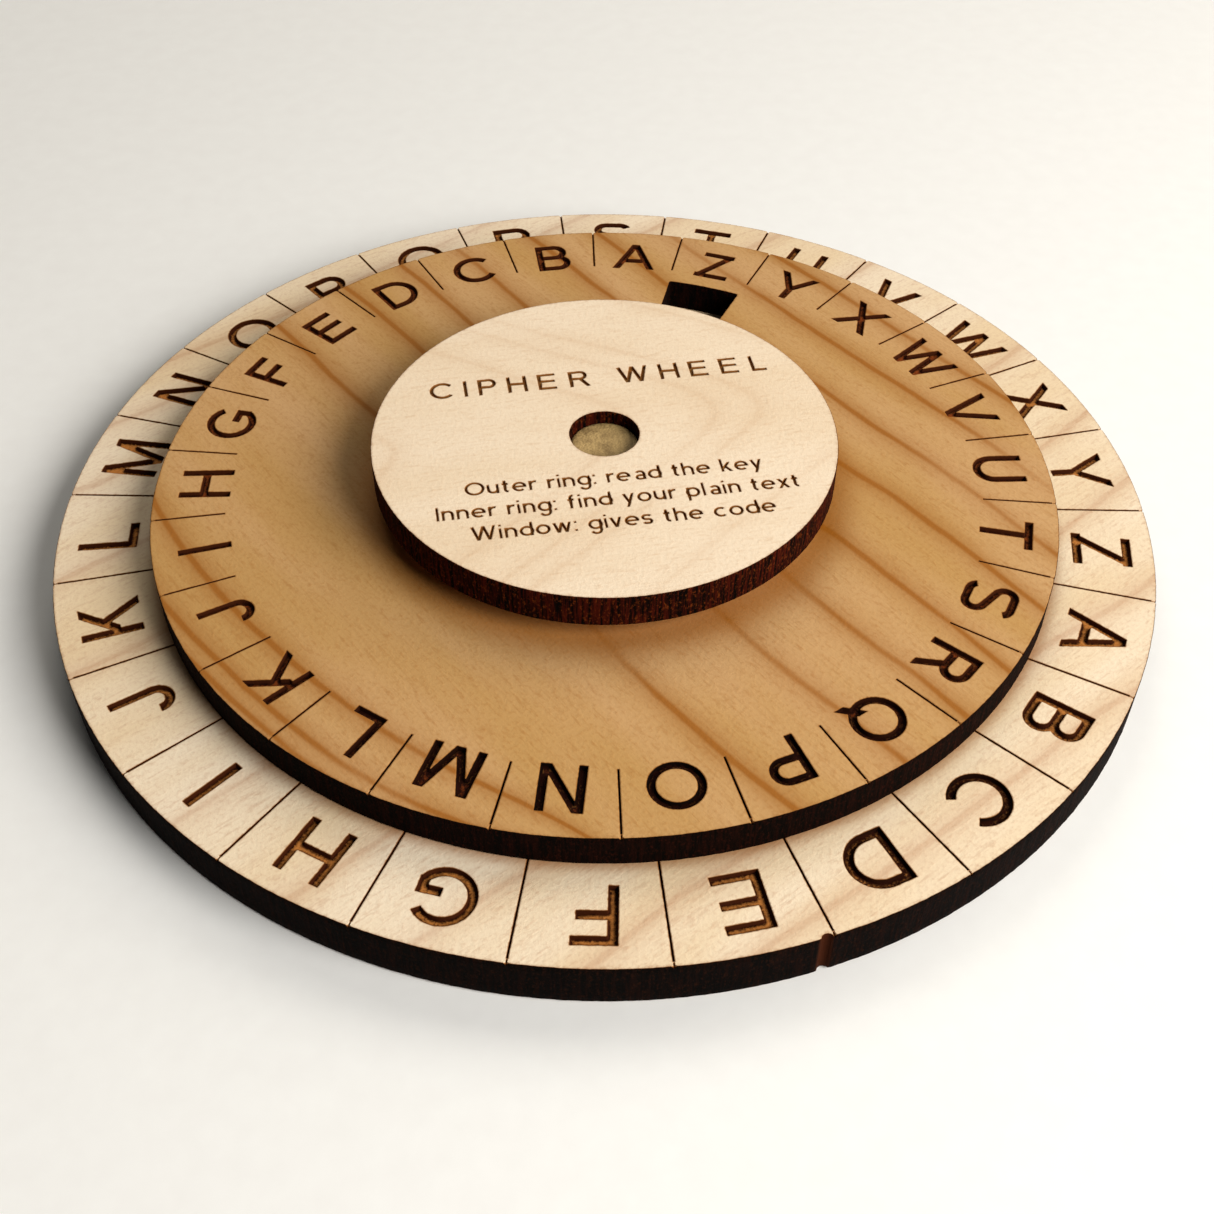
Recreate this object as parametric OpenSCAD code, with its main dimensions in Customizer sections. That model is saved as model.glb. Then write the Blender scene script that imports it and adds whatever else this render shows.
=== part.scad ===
// Cipher wheel: three laser-cut maple discs stacked on one glued dowel.
// The base disc and the hub disc are fixed to the dowel. The wheel between them turns freely.
// Millimetres, +Z up, origin at the centre of the base disc's underside.

/* [Base disc] */
// Diameter of the base disc
base_d = 101.6; // [96:0.1:130]
// Thickness of the base disc
base_t = 4.4; // [3:0.1:8]

/* [Turning wheel] */
// Diameter of the turning wheel
wheel_d = 83.2; // [80:0.1:86]
// Thickness of the turning wheel
wheel_t = 3.2; // [2.5:0.1:6]
// Free gap between the turning wheel and the base disc
face_gap = 0.1; // [0.05:0.05:0.3]
// Turn of the wheel, counted from its letter A standing at +X
wheel_turn = 84.73; // [0:0.01:360]

/* [Window] */
// Distance from the axis to the inner edge of the window
window_in_r = 25.4; // [23:0.1:26]
// Distance from the axis to the outer edge of the window
window_out_r = 32.8; // [32:0.1:33.5]
// Wood left between each side of the window and its cell's edge, as an angle
window_margin = 0.3; // [0.1:0.1:1]

/* [Hub disc] */
// Diameter of the hub disc
hub_d = 42.4; // [40:0.1:44]
// Thickness of the hub disc
hub_t = 3.2; // [2.5:0.1:6]
// Open gap between the turning wheel and the hub disc over it
hub_gap = 1.9; // [0.1:0.1:3]
// Turn of the wording on the hub
hub_text_turn = 8.3; // [-45:0.1:45]

/* [Axle] */
// Diameter of the dowel
dowel_d = 6.35; // [5:0.05:7]
// Depth of the dowel's upper end below the hub's face
dowel_sink = 1.2; // [0.2:0.1:3]
// Radial clearance of the dowel in the turning wheel
bore_clearance = 0.06; // [0.02:0.01:0.1]
// Break on the dowel's two end edges
dowel_chamfer = 0.25; // [0.1:0.05:0.5]

/* [Engraving] */
// Depth of the engraved letters
letter_depth = 0.4; // [0.2:0.05:0.8]
// Depth of the scored lines between letters
line_depth = 0.3; // [0.1:0.05:0.6]
// Width of the scored lines
line_w = 0.2; // [0.1:0.05:0.4]
// Depth of the small wording on the hub
text_depth = 0.25; // [0.1:0.05:0.5]

/* [Dials] */
// Angle of the line between Z and A on the base dial
base_dial_turn = -15.14; // [-180:0.01:180]
// Capital height of the base dial's letters
base_cap = 5.35; // [4:0.05:5.5]
// Distance from the axis to the middle of the base dial's letters
base_letter_r = 46.1; // [45:0.1:46.6]
// Capital height of the turning wheel's letters
wheel_cap = 4.75; // [4:0.05:5]
// Distance from the axis to the middle of the turning wheel's letters
wheel_letter_r = 36.9; // [36.4:0.1:37.2]
// Inner end of the turning wheel's dividing lines
wheel_line_r = 34.9; // [34.5:0.1:36]
// Capital height of the code letters on the base, read through the window
code_cap = 4.4; // [3.5:0.05:4.8]
// Pen width of the dial letters, as a part of their capital height
dial_pen = 0.16; // [0.12:0.01:0.18]

/* [Hub wording] */
// Capital height of the title
title_cap = 2.4; // [2:0.05:2.5]
// Sideways place of the title's middle, from the axis
title_x = 0.8; // [-1:0.1:1]
// Height of the title's baseline above the axis
title_y = 7.2; // [7:0.1:8]
// Clear space between the title's letters, as a part of their capital height
title_spacing = 0.42; // [0.2:0.01:0.44]
// Capital height of the three-line legend
legend_cap = 1.75; // [1.5:0.05:1.8]
// Height of the legend's first baseline
legend_y = -6.8; // [-7.6:0.1:-6.4]
// Distance between the legend's baselines
legend_step = 2.9; // [2.7:0.05:3]
// Clear space between the legend's letters, as a part of their capital height
legend_spacing = 0.13; // [0.1:0.01:0.14]
// Pen width of the title and the legend, as a part of their capital height
text_pen = 0.145; // [0.12:0.005:0.16]

/* [Hidden] */
$fn = 96;

CAPITALS = "ABCDEFGHIJKLMNOPQRSTUVWXYZ";
SMALLS = "acdefghiklnoprstuvwxy: ";
// Width of each letter between the centres of its outermost strokes, in capital heights
CAPITAL_W = [0.78, 0.60, 0.76, 0.69, 0.67, 0.60, 0.78, 0.64, 0, 0.42, 0.66, 0.54, 0.79,
             0.64, 0.84, 0.58, 0.84, 0.68, 0.64, 0.74, 0.63, 0.76, 1.08, 0.72, 0.76, 0.70];
SMALL_W = [0.50, 0.50, 0.52, 0.56, 0.28, 0.52, 0.46, 0, 0.44, 0, 0.46, 0.56, 0.52, 0.24,
           0.40, 0.26, 0.46, 0.46, 0.78, 0.44, 0.46, 0, 0.14];
TITLE = "CIPHER WHEEL";
LEGEND = ["Outer ring: read the key", "Inner ring: find your plain text", "Window: gives the code"];

cells = len(CAPITALS);
cell = 360 / cells;
wheel_z = base_t + face_gap;
hub_z = wheel_z + wheel_t + hub_gap;
hub_top = hub_z + hub_t;
dowel_l = hub_top - dowel_sink;
code_r = (window_in_r + window_out_r) / 2;
base_line_r = wheel_d / 2 - 1.6;  // the lines start out of sight under the turning wheel
nick_r = 0.5;                     // round nick where the cut of the base disc starts and ends
nick_depth = 0.35;
nick_turn = base_dial_turn - 4 * cell - 0.72;  // close beside the line between D and E
over = 1;                         // how far cutters stand proud of the face they cut
x_height = 0.72;                  // height of the small letters, in capital heights
s_lean = 0.28;                    // sideways step between the two bows of an S
beam_share = 0.95;                // width of an S's leaning beam, in pen widths

// ---- Pen strokes: a letter is 1 high, and $pen is the width of its strokes ----

// Upright or leaning stroke whose ends are cut level
module slant(from, to) {
    run = to.x - from.x;
    rise = to.y - from.y;
    half = $pen / 2 * sqrt(run * run + rise * rise) / abs(rise);
    polygon([
        [from.x - half, from.y],
        [from.x + half, from.y],
        [to.x + half, to.y],
        [to.x - half, to.y]
    ]);
}

// Upright stroke
module stem(x, low = 0, high = 1) {
    translate([x - $pen / 2, low])
        square([$pen, high - low]);
}

// Level stroke centred on the height y
module bar(x_from, x_to, y) {
    translate([x_from, y - $pen / 2])
        square([x_to - x_from, $pen]);
}

// Straight stroke that joins two round ones: a little narrower than they are, and sunk into both
module beam(from, to) {
    run = to - from;
    width = beam_share * $pen;
    sink = (1 - beam_share) * $pen;
    translate(from)
        rotate(atan2(run.y, run.x))
            translate([-sink, -width / 2])
                square([norm(run) + 2 * sink, width]);
}

// Round stroke about a centre, from one angle to a larger one
module bow(centre, r, from = 0, to = 360) {
    reach = 2 * r + $pen;
    steps = ceil((to - from) / 45);
    translate(centre)
        if (to - from >= 360)
            difference() {
                circle(r + $pen / 2);
                circle(r - $pen / 2);
            }
        else
            intersection() {
                difference() {
                    circle(r + $pen / 2);
                    circle(r - $pen / 2);
                }
                polygon([
                    [0, 0],
                    for (i = [0 : steps])
                        let (a = from + (to - from) * i / steps)
                            reach * [cos(a), sin(a)]
                ]);
            }
}

// S of any height and width: two bows joined by a leaning beam that touches both
module ess(height, lean, r) {
    low = $pen / 2 + r;
    high = height - $pen / 2 - r;
    step = [lean, low - high];
    turn = atan2(step.y, step.x) - acos(2 * r / norm(step));
    out = r * [cos(turn), sin(turn)];
    upper = [r, high];
    lower = upper + step;
    bow([r + lean, high], r, 25, 90);
    bar(r, r + lean, high + r);
    bow(upper, r, 90, turn + 360);
    beam(upper + out, lower - out);
    bow(lower, r, -90, turn + 180);
    bar(r, r + lean, low - r);
    bow([r, low], r, 205, 270);
}

// Bowl that closes on the right: two bars and a half round between two heights
module bowl(x, low, high) {
    bar(0, x, low);
    bar(0, x, high);
    bow([x, (low + high) / 2], (high - low) / 2, -90, 90);
}

// Arch of the small n and h, standing on the baseline
module arch(w, top) {
    r = w / 2;
    bow([r, top - r], r, 0, 180);
    stem(w, 0, top - r);
}

// ---- Letters, with the left stroke's centre at x = 0 ----

module capital(c) {
    low = $pen / 2;
    high = 1 - low;
    round_r = (1 - $pen) / 2;
    waist = low + 0.26 * 2 * (1 - $pen) * 0.98;
    if (c == "A") {
        slant([0, 0], [0.39, 1]);
        slant([0.78, 0], [0.39, 1]);
        bar(0.13, 0.65, 0.33);
    }
    if (c == "B") {
        stem(0);
        bowl(0.38, low, waist);
        bowl(0.34, waist, high);
    }
    if (c == "C")
        bow([round_r, 0.5], round_r, 40, 320);
    if (c == "D") {
        stem(0);
        bowl(0.27, low, high);
    }
    if (c == "E") {
        stem(0);
        bar(0, 0.66, low);
        bar(0, 0.62, 0.52);
        bar(0, 0.65, high);
    }
    if (c == "F") {
        stem(0);
        bar(0, 0.53, 0.5);
        bar(0, 0.60, high);
    }
    if (c == "G") {
        bow([round_r, 0.5], round_r, 40, 325);
        stem(0.765, 0.22, 0.52);
        bar(0.46, 0.765, 0.52 - low);
    }
    if (c == "H") {
        stem(0);
        stem(0.64);
        bar(0, 0.64, 0.52);
    }
    if (c == "I")
        stem(0);
    if (c == "J") {
        stem(0.42, low + 0.21, 1);
        bow([0.21, low + 0.21], 0.21, 175, 360);
    }
    if (c == "K") {
        stem(0);
        slant([0.04, 0.36], [0.59, 1]);
        slant([0.66, 0], [0.27, 0.62]);
    }
    if (c == "L") {
        stem(0);
        bar(0, 0.54, low);
    }
    if (c == "M") {
        stem(0);
        stem(0.79);
        slant([0.395, 0], [0.02, 1]);
        slant([0.395, 0], [0.77, 1]);
    }
    if (c == "N") {
        stem(0);
        stem(0.64);
        slant([0.62, 0], [0.02, 1]);
    }
    if (c == "O")
        bow([round_r, 0.5], round_r);
    if (c == "P") {
        stem(0);
        bowl(0.36, high - 0.44, high);
    }
    if (c == "Q") {
        bow([round_r, 0.5], round_r);
        slant([0.82, -0.05], [0.53, 0.28]);
    }
    if (c == "R") {
        stem(0);
        bowl(0.39, high - 0.42, high);
        slant([0.67, 0], [0.37, high - 0.42]);
    }
    if (c == "S")
        ess(1, s_lean, 0.18);
    if (c == "T") {
        stem(0.37);
        bar(-0.02, 0.76, high);
    }
    if (c == "U") {
        stem(0, low + 0.315, 1);
        stem(0.63, low + 0.315, 1);
        bow([0.315, low + 0.315], 0.315, 180, 360);
    }
    if (c == "V") {
        slant([0.38, 0], [0, 1]);
        slant([0.38, 0], [0.76, 1]);
    }
    if (c == "W")
        for (x = [0, 0.54]) {
            slant([x + 0.27, 0], [x, 1]);
            slant([x + 0.27, 0], [x + 0.54, 1]);
        }
    if (c == "X") {
        slant([0, 0], [0.72, 1]);
        slant([0.72, 0], [0, 1]);
    }
    if (c == "Y") {
        stem(0.38, 0, 0.45);
        slant([0.38, 0.40], [0, 1]);
        slant([0.38, 0.40], [0.76, 1]);
    }
    if (c == "Z") {
        bar(-0.03, 0.73, low);
        bar(0, 0.70, high);
        slant([0.07, low], [0.61, high]);
    }
}

module small(c) {
    low = $pen / 2;
    high = x_height - low;
    middle = x_height / 2;
    r = 0.25;
    if (c == "a") {
        bow([0.25, 0.21], 0.21 - low, 90, 270);
        bar(0.25, 0.50, 0.21 * 2 - low);
        bar(0.25, 0.50, low);
        stem(0.50, 0, high - 0.2);
        bow([0.30, high - 0.2], 0.2, 0, 150);
    }
    if (c == "c")
        bow([0.28, middle], high - middle, 50, 310);
    if (c == "d") {
        bow([0.28, middle], high - middle);
        stem(0.52);
    }
    if (c == "e") {
        bow([0.28, middle], high - middle, 0, 310);
        bar(0.05, 0.56 + low, middle);
    }
    if (c == "f") {
        stem(0.10, 0, 0.80);
        bow([0.26, 0.80], 0.16, 90, 180);
        bar(-0.05, 0.28, high);
    }
    if (c == "g") {
        bow([0.28, middle], high - middle);
        stem(0.52, -0.05, x_height);
        bow([0.28, -0.05], 0.24, 200, 360);
    }
    if (c == "h") {
        stem(0);
        arch(0.46, high);
    }
    if (c == "i") {
        stem(0, 0, x_height);
        stem(0, 1 - $pen, 1);
    }
    if (c == "k") {
        stem(0);
        slant([0.03, 0.22], [0.40, x_height]);
        slant([0.44, 0], [0.16, 0.42]);
    }
    if (c == "l")
        stem(0);
    if (c == "n") {
        stem(0, 0, x_height);
        arch(0.46, high);
    }
    if (c == "o")
        bow([0.28, middle], high - middle);
    if (c == "p") {
        stem(0, -0.28, x_height);
        bow([0.24, middle], high - middle);
    }
    if (c == "r") {
        stem(0, 0, x_height);
        bow([r, high - r], r, 70, 180);
    }
    if (c == "s")
        ess(x_height, 0.12, 0.14);
    if (c == "t") {
        stem(0.10, 0.16 + low, 0.92);
        bow([0.26, 0.16 + low], 0.16, 180, 270);
        bar(-0.05, 0.28, high);
    }
    if (c == "u") {
        stem(0, low + r, x_height);
        bow([r - 0.02, low + r], r - 0.02, 180, 360);
        stem(0.46, 0, x_height);
    }
    if (c == "v") {
        slant([0.23, 0], [0, x_height]);
        slant([0.23, 0], [0.46, x_height]);
    }
    if (c == "w")
        for (x = [0, 0.39]) {
            slant([x + 0.195, 0], [x, x_height]);
            slant([x + 0.195, 0], [x + 0.39, x_height]);
        }
    if (c == "x") {
        slant([0, 0], [0.44, x_height]);
        slant([0.44, 0], [0, x_height]);
    }
    if (c == "y") {
        slant([0.23, 0], [0, x_height]);
        slant([0.11, -0.28], [0.46, x_height]);
    }
    if (c == ":") {
        stem(0, 0, $pen);
        stem(0, x_height - $pen, x_height);
    }
}

function place(c, letters) = search(c, letters)[0];
function is_capital(c) = !is_undef(place(c, CAPITALS));
function letter_w(c) = is_capital(c) ? CAPITAL_W[place(c, CAPITALS)] : SMALL_W[place(c, SMALLS)];
function advance(c, spacing) = letter_w(c) + $pen + spacing;
function line_length(line, spacing, n) =
    n <= 0 ? 0 : line_length(line, spacing, n - 1) + advance(line[n - 1], spacing);

module letter(c) {
    if (is_capital(c))
        capital(c);
    else
        small(c);
}

// Line of wording centred on x = 0, standing on y = 0
module wording(line, cap, spacing) {
    $pen = text_pen;
    length_all = line_length(line, spacing, len(line)) - spacing;
    scale(cap)
        for (i = [0 : len(line) - 1])
            translate([line_length(line, spacing, i) + $pen / 2 - length_all / 2, 0])
                letter(line[i]);
}

// ---- Dials ----

// One letter cutter, centred on the radius r at the angle turn, its top outwards
module dial_letter(c, turn, r, cap, face_z) {
    $pen = dial_pen;
    rotate(turn - 90)
        translate([-letter_w(c) / 2 * cap, r - cap / 2, face_z - letter_depth])
            scale(cap)
                linear_extrude((letter_depth + over) / cap)
                    letter(c);
}

// One scored line from the radius from_r outwards past to_r
module dial_line(turn, from_r, to_r, face_z) {
    rotate(turn)
        translate([from_r, -line_w / 2, face_z - line_depth])
            cube([to_r - from_r + over, line_w, line_depth + over]);
}

// Flat disc with a central hole
module disc(d, t, hole_d) {
    difference() {
        cylinder(d = d, h = t);
        translate([0, 0, -over])
            cylinder(d = hole_d, h = t + 2 * over);
    }
}

// Sector of a ring between two radii, its centre line along +X
module ring_sector(in_r, out_r, angle, h) {
    reach = 2 * out_r;
    linear_extrude(h)
        intersection() {
            difference() {
                circle(out_r);
                circle(in_r);
            }
            polygon([
                [0, 0],
                reach * [cos(angle / 2), -sin(angle / 2)],
                reach * [cos(angle / 2), sin(angle / 2)]
            ]);
        }
}

// ---- Pieces ----

// Base disc: key letters round its edge, and code letters under the window's track
module outer_wheel() {
    color("wheat")
        difference() {
            disc(base_d, base_t, dowel_d);
            for (i = [0 : cells - 1]) {
                dial_line(base_dial_turn - i * cell, base_line_r, base_d / 2, base_t);
                dial_letter(CAPITALS[i], base_dial_turn - (i + 0.5) * cell,
                            base_letter_r, base_cap, base_t);
                dial_letter(CAPITALS[(cells - i) % cells], base_dial_turn - (i + 0.5) * cell,
                            code_r, code_cap, base_t);
            }
            rotate(nick_turn)
                translate([base_d / 2 + nick_r - nick_depth, 0, -over])
                    cylinder(r = nick_r, h = base_t + 2 * over);
        }
}

// Turning wheel: message letters round its edge, and a window in the cell of its Z
module inner_wheel() {
    color("burlywood")
        difference() {
            translate([0, 0, wheel_z])
                disc(wheel_d, wheel_t, dowel_d + 2 * bore_clearance);
            for (i = [0 : cells - 1]) {
                dial_line(wheel_turn + (i + 0.5) * cell, wheel_line_r, wheel_d / 2,
                          wheel_z + wheel_t);
                dial_letter(CAPITALS[i], wheel_turn + i * cell, wheel_letter_r, wheel_cap,
                            wheel_z + wheel_t);
            }
            rotate(wheel_turn - cell)
                translate([0, 0, wheel_z - over])
                    ring_sector(window_in_r, window_out_r, cell - 2 * window_margin,
                                wheel_t + 2 * over);
        }
}

// Hub disc: keeps the turning wheel on the dowel, and carries the wording
module hub_disc() {
    color("moccasin")
        difference() {
            translate([0, 0, hub_z])
                disc(hub_d, hub_t, dowel_d);
            rotate(hub_text_turn)
                translate([0, 0, hub_top - text_depth])
                    linear_extrude(text_depth + over) {
                        translate([title_x, title_y])
                            wording(TITLE, title_cap, title_spacing);
                        for (i = [0 : len(LEGEND) - 1])
                            translate([0, legend_y - i * legend_step])
                                wording(LEGEND[i], legend_cap, legend_spacing);
                    }
        }
}

// Dowel: glued flush into the base disc and just short of the hub's face
module axle_dowel() {
    color("tan")
        rotate_extrude()
            polygon([
                [0, 0],
                [dowel_d / 2 - dowel_chamfer, 0],
                [dowel_d / 2, dowel_chamfer],
                [dowel_d / 2, dowel_l - dowel_chamfer],
                [dowel_d / 2 - dowel_chamfer, dowel_l],
                [0, dowel_l]
            ]);
}

outer_wheel();
inner_wheel();
hub_disc();
axle_dowel();
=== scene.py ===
"""Looks of the wooden cipher wheel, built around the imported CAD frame.

Each disc is rebuilt from its CAD outlines as one mesh with laser-cut walls, soft burnt edges and real
engraved grooves. It carries three masks (burn, wall, floor) that its maple material reads.
Mesh building works in millimetres, and every finished mesh is in metres.
"""

import math

import bmesh
import bpy
import numpy as np
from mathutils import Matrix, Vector, geometry, kdtree


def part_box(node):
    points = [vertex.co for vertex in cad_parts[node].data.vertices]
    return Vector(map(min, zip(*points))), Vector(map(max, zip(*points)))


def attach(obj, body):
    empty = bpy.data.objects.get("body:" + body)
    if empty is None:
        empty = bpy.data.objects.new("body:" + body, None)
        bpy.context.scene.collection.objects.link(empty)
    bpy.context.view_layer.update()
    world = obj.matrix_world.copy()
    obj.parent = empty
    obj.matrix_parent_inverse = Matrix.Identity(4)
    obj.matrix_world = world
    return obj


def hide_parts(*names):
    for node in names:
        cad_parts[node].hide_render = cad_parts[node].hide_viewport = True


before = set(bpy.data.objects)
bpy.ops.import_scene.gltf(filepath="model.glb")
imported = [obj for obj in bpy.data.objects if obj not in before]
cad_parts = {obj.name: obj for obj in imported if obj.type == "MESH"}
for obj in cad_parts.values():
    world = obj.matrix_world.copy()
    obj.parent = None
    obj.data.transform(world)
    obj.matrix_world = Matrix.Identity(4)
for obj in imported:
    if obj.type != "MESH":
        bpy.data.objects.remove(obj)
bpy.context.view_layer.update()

MM = 0.001
MASKS = ("burn", "wall", "floor")

CELLS = 26              # cells of a dial, each with a letter
WHEEL_CLEARANCE = 0.06  # free space between the dowel and the turning wheel's bore
CLOSE = 0.01            # two places closer than this count as the same
RIM_INSET = 0.02        # room for the ripple of a rim inside the CAD's rim
DOWEL_INSET = 0.01      # keeps the dowel's side clear of the walls of its bores
BORE_POINTS = 128       # points round the dowel and its bores
WINDOW_CORNER = 0.3     # reach of the rounding of the window's corners
WINDOW_STEP = 0.25      # spacing of points round the window
ARRIS = 0.06            # soft edge left where a laser cut meets a face
RAGGED_DEPTH = 0.018    # ripple that the laser leaves down a cut wall
LINE_SOFTNESS = 0.6     # how round a scored line's edges are, as a share of a dial letter's
LINE_REACH = 0.42       # how far inside the rim a scored line's own groove stops
LINE_MOUTH = (0.36, 0.28, 0.2)  # points between that groove and the rim, sunk like it
CUT_SCORCH = (0.26, 0.5)    # strength and reach of the scorch beside a through cut
UNDER_SCORCH = (0.8, 2.6)   # the same on the lower face, where the smoke went
GROOVE_SCORCH = (0.3, 0.2)  # the same beside an engraved groove
CUT_STEPS = (0.12, 0.3, 0.6)    # how far from a through cut the upper face has points
UNDER_STEPS = (0.2, 0.6, 1.3, 2.2)  # the same on the lower face
GROOVE_STEPS = (0.1, 0.25)      # the same beside an engraved groove
FLOOR_STEP = 0.2        # spacing of the bumps on the floor of a dial letter
SHARP_ANGLE = math.radians(50)


# ---- Outlines: loops of points with the wood on their left ----

def disc_size(node):
    """Radius, lowest and highest z of a CAD disc or the dowel, in mm."""
    low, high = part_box(node)
    return high.x / MM, low.z / MM, high.z / MM


def loops_at(node, z, up):
    """Outlines of the CAD's flat face at height z, facing up or down, and the lowest z under each point."""
    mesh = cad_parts[node].data
    points = [tuple(round(c / MM, 3) for c in v.co) for v in mesh.vertices]
    lowest = {}
    for x, y, height in points:
        lowest[x, y] = min(height, lowest.get((x, y), height))
    edges = set()
    for face in mesh.polygons:
        corners = [points[i] for i in face.vertices]
        if (face.normal.z > 0) == up and all(abs(c[2] - z) < 0.002 for c in corners):
            flat = [c[:2] for c in corners]
            edges.update(zip(flat, flat[1:] + flat[:1]))
    follow = {a: b for a, b in edges if (b, a) not in edges}
    loops = []
    while follow:
        start = min(follow)
        loop = [start]
        while (after := follow.pop(loop[-1])) != start:
            loop.append(after)
        loops.append(np.array(loop))
    return loops, lowest


def circle(radius, count, start=0.0, clockwise=False):
    turn = start + np.linspace(0, 2 * math.pi, count, endpoint=False) * (-1 if clockwise else 1)
    return radius * np.stack([np.cos(turn), np.sin(turn)], 1)


def rounded(loop, corner):
    """The loop with its coarse curves smoothed and its sharp corners rounded by about corner."""
    out = []
    for i, point in enumerate(loop):
        before = loop[i - 1] - point
        after = loop[(i + 1) % len(loop)] - point
        sizes = np.linalg.norm(before), np.linalg.norm(after)
        cosine = np.dot(-before, after) / (sizes[0] * sizes[1])
        bend = math.acos(max(-1.0, min(1.0, cosine)))
        reach = min(sizes) / 2
        if bend > math.radians(32):
            reach = min(reach, corner)
        ends = point + before / sizes[0] * reach, point + after / sizes[1] * reach
        steps = max(1, math.ceil(bend / math.radians(14)))
        for t in np.linspace(0, 1, steps + 1):
            out.append((1 - t) ** 2 * ends[0] + 2 * t * (1 - t) * point + t * t * ends[1])
    return without_repeats(np.array(out))


def without_repeats(loop):
    keep = np.linalg.norm(loop - np.roll(loop, 1, axis=0), axis=1) > CLOSE
    return loop[keep]


def spaced(loop, step):
    """The loop with its long sides cut into equal parts no longer than step."""
    out = []
    for a, b in zip(loop, np.roll(loop, -1, axis=0)):
        parts = max(1, math.ceil(np.linalg.norm(b - a) / step))
        out += [a + (b - a) * i / parts for i in range(parts)]
    return np.array(out)


def pushed(loop, distance):
    """The loop moved into the wood by distance, which may differ from point to point."""
    side = np.roll(loop, -1, axis=0) - loop
    side /= np.linalg.norm(side, axis=1, keepdims=True)
    left = np.stack([-side[:, 1], side[:, 0]], 1)
    both = left + np.roll(left, 1, axis=0)
    both /= np.linalg.norm(both, axis=1, keepdims=True)
    spread = np.clip(np.sum(both * left, 1), 0.75, 1)
    return loop + both * (distance / spread).reshape(-1, 1)


def inside(points, loops):
    """Which points lie within an odd number of the loops."""
    odd = np.zeros(len(points), bool)
    for loop in loops:
        near = np.all((points > loop.min(0)) & (points < loop.max(0)), axis=1)
        x, y = points[near].T
        crossed = np.zeros(len(x), bool)
        for (ax, ay), (bx, by) in zip(loop, np.roll(loop, -1, axis=0)):
            if ay != by:
                crossed ^= ((ay > y) != (by > y)) & (x < (bx - ax) * (y - ay) / (by - ay) + ax)
        odd[near] ^= crossed
    return odd


def fill(loops, extra):
    """Triangles that fill the loops, through the extra points that lie between them."""
    rims = np.concatenate(loops)
    edges, start = [], 0
    for loop in loops:
        count = len(loop)
        edges += [(start + i, start + (i + 1) % count) for i in range(count)]
        start += count
    points = np.concatenate([rims, extra]) if len(extra) else rims
    flat = [Vector(p) for p in points]
    verts, _, faces, *_ = geometry.delaunay_2d_cdt(flat, edges, [], 1, 1e-5, False)
    verts = np.array([(v.x, v.y) for v in verts])
    faces = np.array(faces)
    middle = verts[faces].mean(axis=1)
    return verts, faces[inside(middle, loops)]


def nearest(points, loops):
    """Distance from each point to the closest outline point."""
    rims = np.concatenate(loops)
    tree = kdtree.KDTree(len(rims))
    for i, (x, y) in enumerate(rims):
        tree.insert((x, y, 0), i)
    tree.balance()
    return np.array([tree.find((x, y, 0))[2] for x, y in points])


def grid_in(loops, step, margin, noise):
    """Jittered grid points inside the loops, at least margin away from them."""
    found = []
    for loop in loops:
        low, high = loop.min(0), loop.max(0)
        xs, ys = np.meshgrid(np.arange(low[0], high[0], step), np.arange(low[1], high[1], step))
        found.append(np.stack([xs.ravel(), ys.ravel()], 1))
    points = np.unique(np.round(np.concatenate(found), 3), axis=0)
    points += noise.uniform(-0.3, 0.3, points.shape) * step
    points = points[inside(points, loops)]
    return points[nearest(points, loops) > margin]


# ---- Shell: one mesh with its masks ----

class Shell:
    """Collects points and faces in mm, and makes the finished piece of them."""

    def __init__(self):
        self.points, self.masks, self.faces, self.count = [], [], [], 0

    def add(self, xy, z, burn, wall=0.0, floor=0.0):
        """Adds points and returns their numbers."""
        size = len(xy)
        self.points.append(np.column_stack([xy, np.broadcast_to(z, size)]))
        values = [np.broadcast_to(m, size) for m in (burn, wall, floor)]
        self.masks.append(np.column_stack(values))
        self.count += size
        return np.arange(self.count - size, self.count)

    def ring(self, upper, lower):
        """A closed band of quads between two loops, with the wood on the loops' left."""
        after_upper, after_lower = np.roll(upper, -1), np.roll(lower, -1)
        quads = np.stack([upper, lower, after_lower, after_upper], 1)
        self.faces += quads.tolist()

    def sheet(self, xy, z, faces, up, **masks):
        """A flat or slightly uneven sheet of triangles."""
        numbers = self.add(xy, z, **masks)
        ordered = faces if up else faces[:, ::-1]
        self.faces += numbers[ordered].tolist()

    def walls(self, loop, rows, ragged=None):
        """Bands down a loop, one row each for (push into the wood, z, burn, wall).

        Returns the first and the last row's loop.
        """
        rings = []
        for push, z, burn, wall in rows:
            uneven = 0 if ragged is None else ragged.next_row()
            xy = pushed(loop, push + uneven)
            rings.append((xy, self.add(xy, z, burn, wall)))
        for (_, upper), (_, lower) in zip(rings, rings[1:]):
            self.ring(upper, lower)
        return rings[0][0], rings[-1][0]

    def finish(self, name, material):
        mesh = bpy.data.meshes.new(name)
        mesh.from_pydata((np.concatenate(self.points) * MM).tolist(), [], self.faces)
        values = np.concatenate(self.masks).astype(np.float32)
        for i, mask in enumerate(MASKS):
            layer = mesh.attributes.new(mask, "FLOAT", "POINT")
            layer.data.foreach_set("value", np.ascontiguousarray(values[:, i]))
        work = bmesh.new()
        work.from_mesh(mesh)
        bmesh.ops.remove_doubles(work, verts=work.verts, dist=0.002 * MM)
        bmesh.ops.dissolve_degenerate(work, edges=work.edges, dist=0.0005 * MM)
        bmesh.ops.recalc_face_normals(work, faces=work.faces)
        work.to_mesh(mesh)
        work.free()
        mesh.polygons.foreach_set("use_smooth", [True] * len(mesh.polygons))
        mesh.set_sharp_from_angle(angle=SHARP_ANGLE)
        mesh.materials.append(material)
        piece = bpy.data.objects.new(name, mesh)
        bpy.context.scene.collection.objects.link(piece)
        return piece


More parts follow.
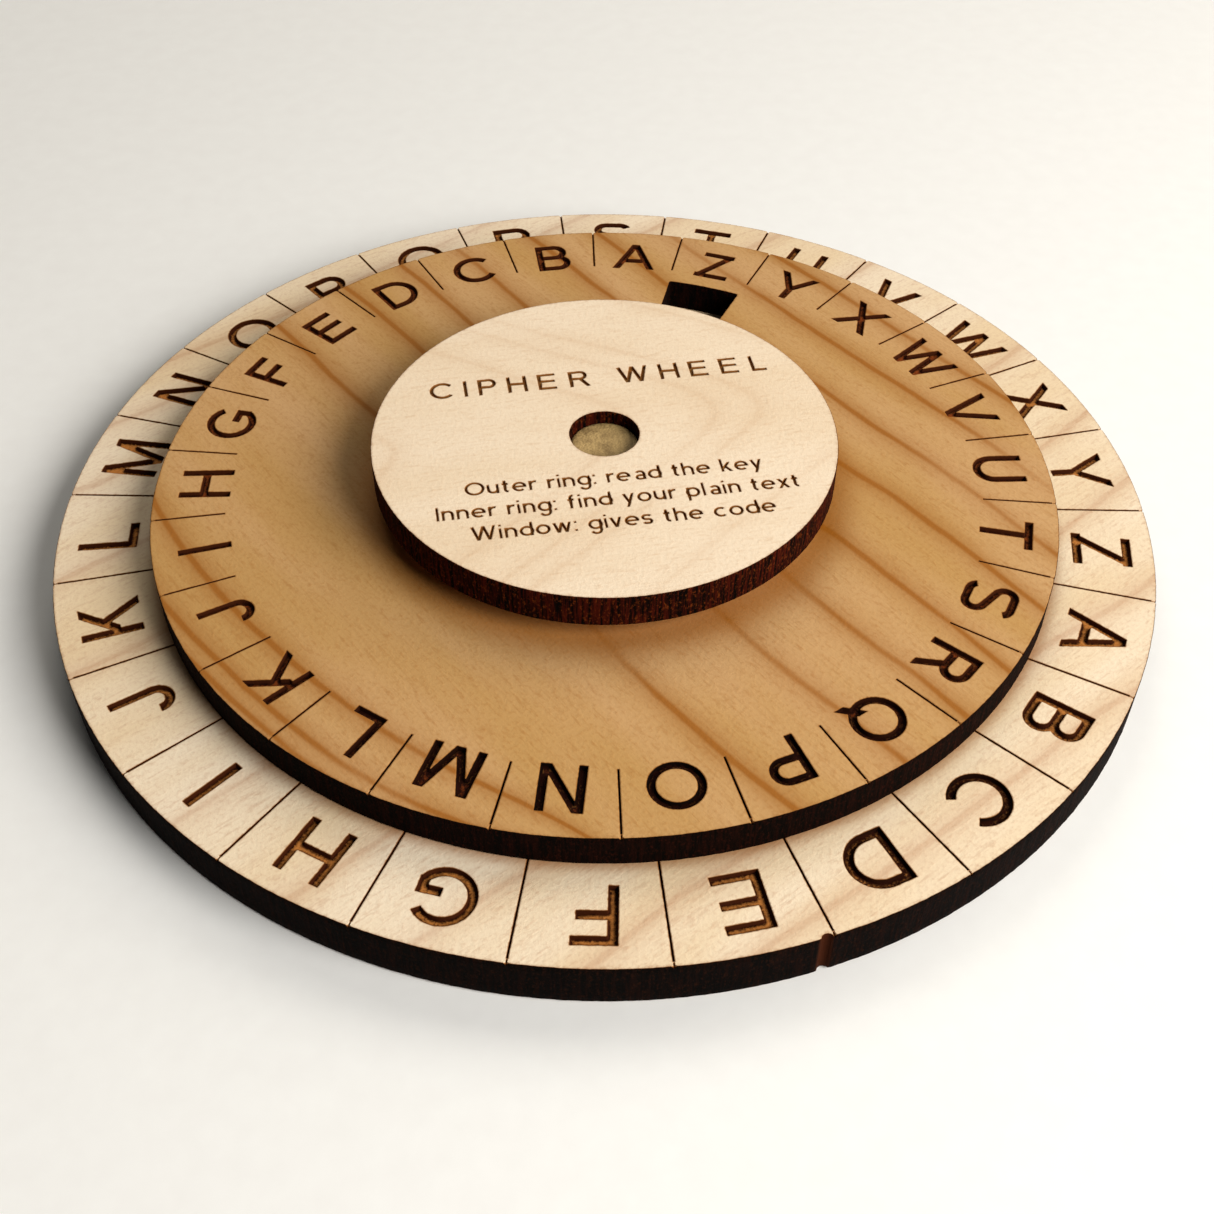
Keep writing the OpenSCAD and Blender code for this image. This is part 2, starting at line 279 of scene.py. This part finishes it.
class Ragged:
    """The upright ripple that a laser leaves down a cut wall: mostly the same in every row."""

    def __init__(self, count, depth, noise):
        coarse = noise.uniform(-1, 1, count)
        self.column = depth * (0.6 * coarse + 0.4 * np.roll(coarse, 1))
        self.depth = depth
        self.noise = noise

    def next_row(self):
        return self.column + self.noise.uniform(-0.35, 0.35, len(self.column)) * self.depth


# ---- Discs ----

def cut_rows(top, bottom, levels=6):
    """Rows of a wall that a laser cuts right through, with a soft arris at both faces."""
    upper = [(ARRIS, top, 0.26, 0.0), (ARRIS * 0.3, top - ARRIS * 0.3, 0.9, 0.6)]
    lower = [(ARRIS * 0.3, bottom + ARRIS * 0.3, 0.95, 0.6), (ARRIS, bottom, 0.7, 0.0)]
    span = np.linspace(top - ARRIS, bottom + ARRIS, levels)
    return upper + [(0.0, z, 1.0, 1.0) for z in span] + lower


def marked_rows(rows, ends, in_nick, line_floor):
    """Rows of a cut wall, sunk and black at the ends of scored lines, and plain char in the nick."""
    marked = []
    for push, z, burn, wall in rows:
        height = np.where(ends, min(z, line_floor), z)
        black = np.where(ends, 1.0, burn)
        marked.append((push, height, black, np.where(in_nick, 0.0, wall)))
    return marked


def groove_rows(top, depth, softness, heat):
    """Rows of an engraved groove's wall, from its scorched lip to its floor."""
    lip = 0.06 * softness
    return [
        (0.0, top, 0.45 * heat, 0.0),
        (-lip, top - lip * 0.8, 0.95 * heat, 0.0),
        (-1.6 * lip, top - depth * 0.6, heat, 0.0),
        (-2.6 * lip, top - depth, 0.95 * heat, 0.0),
    ]


def read_rim(loop, lowest, radius, bottom):
    """A rim's scored lines, as the two inner corners of each, and the points of its nick."""
    within = np.linalg.norm(loop, axis=1) < radius - CLOSE
    deep = np.array([lowest[tuple(p)] < bottom + CLOSE for p in loop])
    corners = within & ~deep & np.roll(within & ~deep, -1)
    lines = [(loop[i], loop[(i + 1) % len(loop)]) for i in np.flatnonzero(corners)]
    # a scored line's inner corners are the ones furthest from the rim
    near = min(np.linalg.norm(a) for a, _ in lines) if lines else 0
    lines = [(a, b) for a, b in lines if np.linalg.norm(a) < near + 0.1]
    return lines, loop[within & deep]


def line_groove(a, b, radius):
    """Outline of a scored line that starts with the corners a and b and stops a little inside the rim."""
    middle = (a + b) / 2
    out = middle / np.linalg.norm(middle) * (radius - LINE_REACH) - middle
    return np.array([a + out, a, b, b + out])


def rim_outline(radius, columns, lines, nick):
    """A disc's edge. Where it has scored lines, each meets one of the outline's points."""
    if not lines:
        return circle(radius, columns)
    middle = sum(lines[0])
    start = math.atan2(middle[1], middle[0])
    rim = circle(radius, columns, start)
    if not len(nick):
        return rim
    turn = np.unwrap(np.arctan2(nick[:, 1], nick[:, 0]))
    rim_turn = np.arctan2(rim[:, 1], rim[:, 0])
    rim = rim[(rim_turn < turn.min() - 0.001) | (rim_turn > turn.max() + 0.001)]
    both = np.concatenate([rim, nick])
    return both[np.argsort(np.arctan2(both[:, 1], both[:, 0]))]


def at_lines(outline, lines):
    """Which points of a rim outline stand at the end of a scored line."""
    if not lines:
        return np.zeros(len(outline), bool)
    ends = np.array([(a + b) / np.linalg.norm(a + b) for a, b in lines])
    along = outline / np.linalg.norm(outline, axis=1, keepdims=True)
    return (along @ ends.T).max(axis=1) > 1 - 1e-6


def line_mouths(radius, lines):
    """Sunk points that lead each scored line out to the rim."""
    ends = [(a + b) / np.linalg.norm(a + b) for a, b in lines]
    return np.array([end * (radius - reach) for end in ends for reach in LINE_MOUTH]).reshape(-1, 2)


def sort_outlines(node, radius, bottom, top):
    """A CAD disc's through cuts, its grooves with their depths, its scored lines and its nick."""
    uppers, lowest = loops_at(node, top, True)
    cuts, grooves, lines, nick = [], [], [], np.empty((0, 2))
    for loop in uppers:
        far = np.linalg.norm(loop, axis=1)
        depth = round(top - lowest[tuple(loop[0])], 2)
        if far.max() > radius - CLOSE:
            lines, nick = read_rim(loop, lowest, radius, bottom)
        elif depth < top - bottom - CLOSE:
            grooves.append((loop, depth))
        elif far.max() - far.min() > 0.1:
            # not the round bore, so the window
            cuts.append(rounded(loop, WINDOW_CORNER))
    line_depth = round(top - lowest[tuple(lines[0][0])], 2) if lines else 0.0
    return cuts, grooves, lines, line_depth, nick


def build_disc(node, name, material, bore, columns, step, softness, heat, seed):
    """A laser-cut disc. softness scales how round its engraved strokes are, and heat how black they are.

    columns are the points round its rim, and step is the spacing of points along the strokes.
    """
    noise = np.random.default_rng(seed)
    radius, bottom, top = disc_size(node)
    cuts, grooves, lines, line_depth, nick = sort_outlines(node, radius, bottom, top)
    shell = Shell()

    rim = rim_outline(radius - RIM_INSET, columns, lines, nick)
    outlines = [rim, circle(bore, BORE_POINTS, clockwise=True)]
    outlines += [spaced(cut, WINDOW_STEP) for cut in cuts]
    upper_cuts, lower_cuts, sunk = [], [], [line_mouths(radius, lines)]
    for outline in outlines:
        ends = at_lines(outline, lines)
        in_nick = (outline is rim) & (np.linalg.norm(outline, axis=1) < radius - 2 * RIM_INSET)
        rows = marked_rows(cut_rows(top, bottom), ends, in_nick, top - line_depth)
        upper, lower = shell.walls(outline, rows, Ragged(len(outline), RAGGED_DEPTH, noise))
        upper_cuts.append(upper)
        lower_cuts.append(lower)
        sunk.append(upper[ends])

    upper_grooves = []
    if lines:
        ended = [line_groove(a, b, radius) for a, b in lines]
        upper_grooves += add_grooves(shell, ended, top, line_depth, step, LINE_SOFTNESS, 1.0, noise)
    for depth in sorted({depth for _, depth in grooves}):
        same = [loop for loop, own_depth in grooves if own_depth == depth]
        upper_grooves += add_grooves(shell, same, top, depth, step, softness, heat, noise)

    cover(shell, upper_cuts, upper_grooves, top, True, np.concatenate(sunk), line_depth)
    cover(shell, lower_cuts, [], bottom, False)
    return shell.finish(name, material)


def add_grooves(shell, loops, top, depth, step, softness, heat, noise):
    """Walls and charred, uneven floors of engraved grooves. Returns their outlines on the face."""
    uppers, floors = [], []
    for loop in loops:
        soft = spaced(rounded(loop, 0.1 * softness), step)
        upper, lower = shell.walls(soft, groove_rows(top, depth, softness, heat))
        uppers.append(upper)
        floors.append(lower)
    extra = grid_in(floors, FLOOR_STEP, FLOOR_STEP / 2, noise) if softness == 1 else np.empty((0, 2))
    xy, faces = fill(floors, extra)
    away = nearest(xy, floors)
    uneven = np.where(away > 0.001, noise.uniform(-0.03, 0.03, len(xy)), 0)
    burn = np.clip(0.95 - away * 2.2, 0.3, 1) * heat
    shell.sheet(xy, top - depth + uneven, faces, True, burn=burn, floor=1.0)
    return uppers


def cover(shell, cuts, grooves, z, up, sunk=(), sunk_depth=0.0):
    """A disc's face, with points close to every cut where the scorch fades. The sunk points lie lower."""
    found = [beside(cuts, cuts + grooves, CUT_STEPS if up else UNDER_STEPS)]
    if grooves:
        found.append(beside(grooves, cuts + grooves, GROOVE_STEPS))
    if len(sunk):
        clear = [points[nearest(points, [sunk]) > 0.09] for points in found]
        found = clear + [sunk]
    xy, faces = fill(cuts + grooves, np.concatenate(found))
    burn = scorch(xy, cuts, *(CUT_SCORCH if up else UNDER_SCORCH))
    if grooves:
        burn = np.maximum(burn, scorch(xy, grooves, *GROOVE_SCORCH))
    if len(sunk):
        low = nearest(xy, [sunk]) < 0.001
        z = np.where(low, z - sunk_depth, z)
        burn = np.where(low, 1.0, burn)
    shell.sheet(xy, z, faces, up, burn=burn)


def beside(loops, limits, distances):
    """Points on the face at set distances from the loops."""
    found = np.concatenate([pushed(loop, d) for loop in loops for d in distances])
    found = found[inside(found, limits)]
    return found[nearest(found, limits) > distances[0] * 0.8]


def scorch(points, loops, strength, reach):
    """Burn on a face, fading with the distance from the nearest of the loops."""
    near = np.clip(1 - nearest(points, loops) / reach, 0, 1)
    return strength * near ** 2


# ---- Materials ----

# brown of the painted shade beside the edge of a disc that lies above
SHADE_TINT = "94560c"
SCORCH = "94602d"
CHAR = "3a1807"
DARKEST_CHAR = "0c0301"


def rgb(code):
    """Linear colour of an sRGB hex code."""
    channels = [int(code[i:i + 2], 16) / 255 for i in (0, 2, 4)]
    return [c / 12.92 if c < 0.04045 else ((c + 0.055) / 1.055) ** 2.4 for c in channels] + [1.0]


class Graph:
    """Shorthand for a material's nodes. An input is a number, a colour, or another node's output."""

    def __init__(self, name):
        self.material = bpy.data.materials.new(name)
        self.material.use_nodes = True
        self.tree = self.material.node_tree
        self.tree.nodes.clear()

    def node(self, kind, inputs=(), output=0, **settings):
        made = self.tree.nodes.new("ShaderNode" + kind)
        for key, value in settings.items():
            setattr(made, key, value)
        for key, value in dict(inputs).items():
            socket = made.inputs[key]
            if isinstance(value, bpy.types.NodeSocket):
                self.tree.links.new(value, socket)
            else:
                socket.default_value = value
        return made.outputs[output] if made.outputs else made

    def math(self, operation, a, b=0.0, clamp=False):
        return self.node("Math", {0: a, 1: b}, operation=operation, use_clamp=clamp)

    def mix(self, share, a, b):
        return self.node("Mix", {0: share, 6: a, 7: b}, output=2, data_type="RGBA")

    def ramp(self, value, low, high):
        """Smooth 0 to 1 as value goes from low to high."""
        inputs = {"Value": value, "From Min": low, "From Max": high}
        return self.node("MapRange", inputs, interpolation_type="SMOOTHSTEP")

    def noise(self, vector, scale, detail=2.0, rough=0.5):
        inputs = {"Vector": vector, "Scale": scale, "Detail": detail, "Roughness": rough}
        return self.node("TexNoise", inputs)

    def swing(self, noise, size):
        """The noise as a change of up to half of size, up or down."""
        return self.math("MULTIPLY", self.math("SUBTRACT", noise, 0.5), size)

    def mask(self, name):
        return self.node("Attribute", output=2, attribute_name=name)

    def place(self, turn=0.0, stretch=(1, 1, 1), shift=(0, 0, 0)):
        """Object coordinates in mm, turned so that X runs along the grain, then stretched."""
        coords = self.node("TexCoord", output=3)
        turned = self.node("Mapping", {"Vector": coords, "Rotation": (0, 0, turn),
                                       "Scale": (1000, 1000, 1000), "Location": shift})
        return self.node("Mapping", {"Vector": turned, "Scale": stretch})

    def surface(self, color, roughness, bump, bump_mm, **fixed):
        relief = self.node("Bump", {"Height": bump, "Distance": bump_mm * MM, "Strength": 1.0})
        inputs = {"Base Color": color, "Roughness": roughness, "Normal": relief, **fixed}
        shader = self.node("BsdfPrincipled", inputs)
        self.node("OutputMaterial", {"Surface": shader})
        return self.material


def maple(name, tones, grain_turn, figure, line_share, shade_ring, chars, dark_spot, seed):
    """Sanded maple, with growth lines along the grain, char where a laser has cut it, and painted shade
    beside the edge of the disc above.

    tones are the light wood, the darker wood and the growth lines. shade_ring is the radius, the width and
    the height, in mm, of a ring of painted shade beside the edge of the disc above, where its shadow falls.
    chars are the palest and the darkest floor of a letter, then the soot, ribs and ash of a cut wall.
    dark_spot is the place round which the char is darkest, and the distances from it at which that starts
    to fade and has faded, all in mm.
    """
    g = Graph(name)
    pale_floor, dark_floor, soot, rust, ash = (rgb(char) for char in chars)
    shift = (seed * 13.7, seed * 7.3, seed)
    fibre = g.noise(g.place(grain_turn, (0.3, 4.5, 1.0), shift), 1.0, 3.0, 0.6)
    grit = g.noise(g.place(0, (2.6, 2.6, 2.6), shift), 1.0, 3.0, 0.65)
    rib = g.noise(g.place(0, (3.6, 3.6, 0.3), shift), 1.0, 2.0, 0.6)
    burn, wall, floor = (g.mask(mask) for mask in MASKS)
    # char and letter floors are darker round a set place
    dark_near = dark_spot_share(g, *dark_spot)

    color = sanded_wood(g, tones, grain_turn, figure, line_share, fibre, grit, shift)
    # painted shade: a brown ring on the face beside the edge of the disc above, where that disc's shadow
    # falls
    if shade_ring:
        color = g.mix(painted_shade_ring(g, *shade_ring), color, rgb(SHADE_TINT))
    color = scorched(g, color, burn, grit, dark_near)
    color = g.mix(floor, color, letter_floor(g, burn, dark_near, pale_floor, dark_floor, shift))
    color = g.mix(wall, color, cut_wall(g, rib, soot, rust, ash, shift))

    relief = g.math("ADD", g.math("MULTIPLY", fibre, 0.4), grit)
    relief = g.math("ADD", relief, g.math("MULTIPLY", rib, wall))
    rough = g.math("ADD", g.math("MULTIPLY", burn, 0.3), 0.6)
    return g.surface(color, rough, relief, 0.04, **{"Specular IOR Level": 0.05})


def sanded_wood(g, tones, grain_turn, figure, line_share, fibre, grit, shift):
    """Colour of bare maple: soft clouds under growth lines, fibres, flecks and fine grit."""
    light, dark, line = (rgb(tone) for tone in tones)
    cloud = g.noise(g.place(grain_turn, (0.03, 0.12, 0.1), shift), 1.0, 2.0)
    fleck = g.noise(g.place(grain_turn, (0.7, 2.6, 1.0), shift), 1.0, 2.0, 0.55)
    marks = [
        (growth_lines(g, grain_turn, figure, cloud, shift), line_share),
        (g.ramp(fibre, 0.45, 0.8), 0.16),
        (g.ramp(fleck, 0.54, 0.72), 0.22),
        (g.ramp(grit, 0.45, 0.75), 0.24),
    ]
    wood = g.mix(g.ramp(cloud, 0.3, 0.7), light, dark)
    for mark, share in marks:
        wood = g.mix(g.math("MULTIPLY", mark, share), wood, line)
    return wood


def dark_spot_share(g, spot, fading, faded):
    """1 close to the dark spot, fading to 0 further off."""
    apart = g.node("VectorMath", {0: g.place(), 1: spot}, output=1, operation="DISTANCE")
    return g.ramp(apart, faded, fading)


def scorched(g, wood, burn, grit, dark_near):
    """The wood's colour where it is browned and then charred as burn rises."""
    heat = g.math("ADD", burn, g.swing(grit, 0.3))
    brown = g.mix(g.ramp(heat, 0.06, 0.55), wood, rgb(SCORCH))
    return g.mix(g.ramp(heat, 0.45, 0.85), brown, g.mix(dark_near, rgb(CHAR), rgb(DARKEST_CHAR)))


def letter_floor(g, burn, dark_near, pale, dark, shift):
    """Colour of a letter's speckled floor, darker beside its walls and near the dark spot."""
    speckle = g.noise(g.place(0, (3.4, 3.4, 3.4), shift), 1.0, 3.0, 0.75)
    depth = g.math("ADD", burn, g.math("MULTIPLY", dark_near, 0.5))
    depth = g.math("ADD", depth, g.swing(speckle, 1.3))
    return g.mix(g.ramp(depth, 0.25, 0.95), pale, dark)


def cut_wall(g, rib, soot, rust, ash, shift):
    """Colour of a cut wall, ribbed from top to bottom and speckled with ash."""
    dust = g.noise(g.place(0, (4.2, 4.2, 2.4), shift), 1.0, 3.0, 0.7)
    side = g.mix(g.ramp(rib, 0.38, 0.7), soot, rust)
    return g.mix(g.math("MULTIPLY", g.ramp(dust, 0.52, 0.7), 0.6), side, ash)


def painted_shade_ring(g, edge, width, height):
    """Strength of the painted shade on a disc's upper face, close to the edge of the disc above, where that
    disc's shadow falls.
    """
    place = g.place()
    z = g.node("SeparateXYZ", {0: place}, output=2)
    flat = g.node("VectorMath", {0: place, 1: (1, 1, 0)}, operation="MULTIPLY")
    radius = g.node("VectorMath", {0: flat}, output=1, operation="LENGTH")
    ring = g.math("POWER", g.ramp(radius, edge + width, edge), 1.5)
    ring = g.math("MULTIPLY", ring, g.ramp(radius, edge - 2 * width, edge))
    ring = g.math("MULTIPLY", ring, g.ramp(z, height - 1.0, height - 0.5))
    return g.math("MULTIPLY", ring, 0.68)


def growth_lines(g, grain_turn, figure, cloud, shift):
    """How close the wood is to a growth line: a crisp core in a soft halo.

    figure is how far the lines fan out along the grain, the place of the log's heart across it, how
    strongly the lines on the far side bow, and the lines' places across the grain in mm.
    """
    fan, heart, bow, rings = figure
    place = g.place(grain_turn)
    along = g.node("SeparateXYZ", {0: place}, output=0)
    across = g.node("SeparateXYZ", {0: place}, output=1)
    off_heart = g.math("SUBTRACT", across, heart)
    bent = g.math("SQRT", g.math("ADD", g.math("MULTIPLY", off_heart, off_heart), 12.0))
    bent = g.math("ADD", bent, g.math("ADD", g.math("MULTIPLY", along, fan), heart))
    reach = g.math("POWER", g.math("ADD", along, 9.0), 2.0)
    bowed = g.math("MULTIPLY", g.math("MULTIPLY", reach, bow), g.ramp(across, -14.0, -30.0))
    bent = g.math("SUBTRACT", bent, bowed)
    warp = g.noise(g.place(grain_turn, (0.03, 0.03, 0.02), shift), 1.0, 1.0)
    ripple = g.noise(g.place(grain_turn, (0.14, 0.2, 0.1), shift), 1.0, 3.0)
    bent = g.math("ADD", bent, g.swing(warp, 4.0))
    bent = g.math("ADD", bent, g.swing(ripple, 0.6))
    near = None
    for ring in rings:
        gap = g.math("ABSOLUTE", g.math("SUBTRACT", bent, ring))
        near = gap if near is None else g.math("MINIMUM", near, gap)
    core = g.math("MULTIPLY", g.ramp(near, 0.5, 0.05), 0.5)
    halo = g.math("MULTIPLY", g.math("POWER", g.ramp(near, 3.6, -0.6), 2.0), 0.7)
    return g.math("MULTIPLY", g.math("ADD", core, halo), g.ramp(cloud, 0.1, 0.55), clamp=True)


def end_grain(name):
    """Sawn end of a hardwood dowel: faint rings and dark pores, dusty with soot."""
    g = Graph(name)
    spot = g.place(0.4, (1, 1, 1), (5.1, 2.9, 0))
    rings = g.node("TexWave", {"Vector": spot, "Scale": 0.5, "Distortion": 3.0, "Detail": 3.0},
                   output=1, wave_type="RINGS", rings_direction="Z")
    pores = g.node("TexVoronoi", {"Vector": spot, "Scale": 4.0}, feature="F1")
    grime = g.noise(spot, 0.8, 4.0, 0.6)
    color = g.mix(g.math("MULTIPLY", rings, 0.25), rgb("b99a63"), rgb("9a7c4a"))
    color = g.mix(g.ramp(grime, 0.4, 0.75), color, rgb("83683c"))
    color = g.mix(g.math("MULTIPLY", g.ramp(pores, 0.2, 0.08), 0.4), color, rgb("5b4526"))
    relief = g.math("ADD", pores, g.math("MULTIPLY", grime, 0.6))
    return g.surface(color, 0.75, relief, 0.05)


# ---- Dowel ----

def build_dowel(material):
    """The dowel with softly rounded sawn ends."""
    noise = np.random.default_rng(5)
    radius, bottom, top = disc_size("axle_dowel")
    shell = Shell()
    rows = [(0.35, top, 0, 0), (0.12, top - 0.06, 0, 0), (0.0, top - 0.25, 0, 0)]
    rows += [(0.0, z, 0, 0) for z in np.linspace(top - 1, bottom + 1, 6)]
    rows += [(0.0, bottom + 0.25, 0, 0), (0.12, bottom + 0.06, 0, 0), (0.35, bottom, 0, 0)]
    outline = circle(radius - DOWEL_INSET, BORE_POINTS)
    upper, lower = shell.walls(outline, rows)
    for loop, z, up in ((upper, top, True), (lower, bottom, False)):
        extra = grid_in([loop], 0.25, 0.15, noise)
        xy, faces = fill([loop], extra)
        edge = nearest(xy, [loop])
        uneven = np.where(edge > 0.001, noise.uniform(-0.015, 0.015, len(xy)), 0)
        shell.sheet(xy, z + (uneven if up else 0), faces, up, burn=0.0)
    return shell.finish("dowel", material)


# ---- Stage ----

def area_light(name, place, size, power, color):
    """A round soft light that points at the origin."""
    data = bpy.data.lights.new(name, "AREA")
    data.shape = "DISK"
    data.size = size
    data.energy = power
    data.color = color
    lamp = bpy.data.objects.new(name, data)
    lamp.location = place
    lamp.rotation_euler = (-Vector(place)).to_track_quat("-Z", "Y").to_euler()
    bpy.context.scene.collection.objects.link(lamp)


def build_floor():
    g = Graph("floor_paper")
    grain = g.noise(g.place(0, (0.4, 0.4, 0.4)), 1.0, 3.0)
    color = g.mix(grain, rgb("f4f3f1"), rgb("fafaf8"))
    material = g.surface(color, 0.9, grain, 0.02)
    half = 0.4
    corners = [(-half, -half, 0), (half, -half, 0), (half, half, 0), (-half, half, 0)]
    mesh = bpy.data.meshes.new("floor")
    mesh.from_pydata(corners, [], [(0, 1, 2, 3)])
    mesh.materials.append(material)
    floor = bpy.data.objects.new("floor", mesh)
    floor.location.z = -0.0002
    bpy.context.scene.collection.objects.link(floor)


def build_camera(base_radius, base_top):
    """The camera's place is in radii of the base disc, from the centre of its upper face."""
    data = bpy.data.cameras.new("camera")
    data.sensor_width = 36.0
    data.lens = 47.3
    data.shift_x = 0.0065
    data.clip_start = 0.01
    camera = bpy.data.objects.new("camera", data)
    camera.location = Vector((-0.0095, -2.2289, 1.9786)) * base_radius + Vector((0, 0, base_top))
    camera.rotation_euler = (math.radians(90 - 45.34), 0, 0)
    bpy.context.scene.collection.objects.link(camera)
    bpy.context.scene.camera = camera


def build_world():
    """Faint warm fill light, behind a backdrop that looks pale but gives no more light than the fill."""
    world = bpy.data.worlds.new("studio")
    world.use_nodes = True
    nodes, links = world.node_tree.nodes, world.node_tree.links
    fill = nodes["Background"]
    fill.inputs["Color"].default_value = (1.0, 0.97, 0.92, 1)
    fill.inputs["Strength"].default_value = 0.035
    backdrop = nodes.new("ShaderNodeBackground")
    backdrop.inputs["Color"].default_value = (0.86, 0.85, 0.83, 1)
    seen = nodes.new("ShaderNodeLightPath")
    either = nodes.new("ShaderNodeMixShader")
    links.new(seen.outputs["Is Camera Ray"], either.inputs[0])
    links.new(fill.outputs[0], either.inputs[1])
    links.new(backdrop.outputs[0], either.inputs[2])
    links.new(either.outputs[0], nodes["World Output"].inputs["Surface"])
    bpy.context.scene.world = world
    bpy.context.scene.view_settings.view_transform = "Standard"


def build_lights():
    """Soft lights, as in the photo: low from the front right, and weaker from behind and from the right."""
    area_light("key", (0.335, -0.255, 0.27), 0.34, 3.35, (1.0, 0.975, 0.93))
    area_light("back", (-0.1, 0.55, 0.575), 0.5, 1.7, (1.0, 0.95, 0.86))
    area_light("side", (0.6, 0.35, 0.4), 0.5, 2.1, (1.0, 0.93, 0.82))


base_radius, _, base_top = disc_size("outer_wheel")
wheel_radius, _, wheel_top = disc_size("inner_wheel")
hub_radius = disc_size("hub_disc")[0]
bore = disc_size("axle_dowel")[0]

base_maple = maple(
    "base_maple",
    tones=("f5e3c8", "ebd2ac", "b98460"),
    grain_turn=math.radians(-39),
    figure=(0.0, -80, 0.0, (-46, -38.4, -29, -20, -8, 12, 23, 33, 40, 46)),
    line_share=0.42,
    # painted shade on the base's face beside the turning wheel's edge
    shade_ring=(wheel_radius - 0.2, 1.8, base_top),
    chars=("be793a", "2a0e04", "030100", "120401", "2a1206"),
    dark_spot=((27, -37, 0), 2, 20),
    seed=1)
wheel_maple = maple(
    "wheel_maple",
    tones=("cea371", "c3975c", "9c5e1e"),
    grain_turn=math.radians(52),
    figure=(0.0, -80, 0.006, (-41.4, -39.6, -35, -12.3, -2.7, 4.3, 10.9, 18.8, 25, 31.5, 38)),
    line_share=0.9,
    # painted shade on the wheel's face round the hub, where the hub's shadow and the dark gap under it fall
    shade_ring=(hub_radius - 0.2, 4.5, wheel_top),
    chars=("843e16", "220a04", "030100", "160401", "301006"),
    dark_spot=((2, -37, 0), 8, 44),
    seed=2)
hub_maple = maple(
    "hub_maple",
    tones=("f7e3c8", "f1dabb", "d2aa82"),
    grain_turn=math.radians(-11.5),
    figure=(0.69, 1.3, 0.0, (-8, 6.3, 11.8, 14.8, 24)),
    line_share=0.26,
    shade_ring=None,
    chars=("9b7340", "6b4420", "040100", "3c0d03", "70340e"),
    dark_spot=((0, -60, 0), 1, 2),  # off the disc, so without effect
    seed=3)

base_disc = build_disc("outer_wheel", "base_disc", base_maple, bore,
                       columns=56 * CELLS, step=0.3, softness=1.0, heat=1.0, seed=11)
turning_wheel = build_disc("inner_wheel", "turning_wheel", wheel_maple, bore + WHEEL_CLEARANCE,
                           columns=46 * CELLS, step=0.3, softness=1.0, heat=1.0, seed=12)
hub = build_disc("hub_disc", "hub", hub_maple, bore,
                 columns=720, step=0.25, softness=0.35, heat=0.58, seed=13)
dowel = build_dowel(end_grain("dowel_birch"))

pieces = [
    (base_disc, "outer_wheel", "base", "base_maple"),
    (turning_wheel, "inner_wheel", "wheel", "wheel_maple"),
    (hub, "hub_disc", "base", "hub_maple"),
    (dowel, "axle_dowel", "base", "dowel_birch"),
]
for piece, node, body, slot in pieces:
    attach(piece, body)
    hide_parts(node)

build_floor()
build_world()
build_lights()
build_camera(base_radius * MM, base_top * MM)
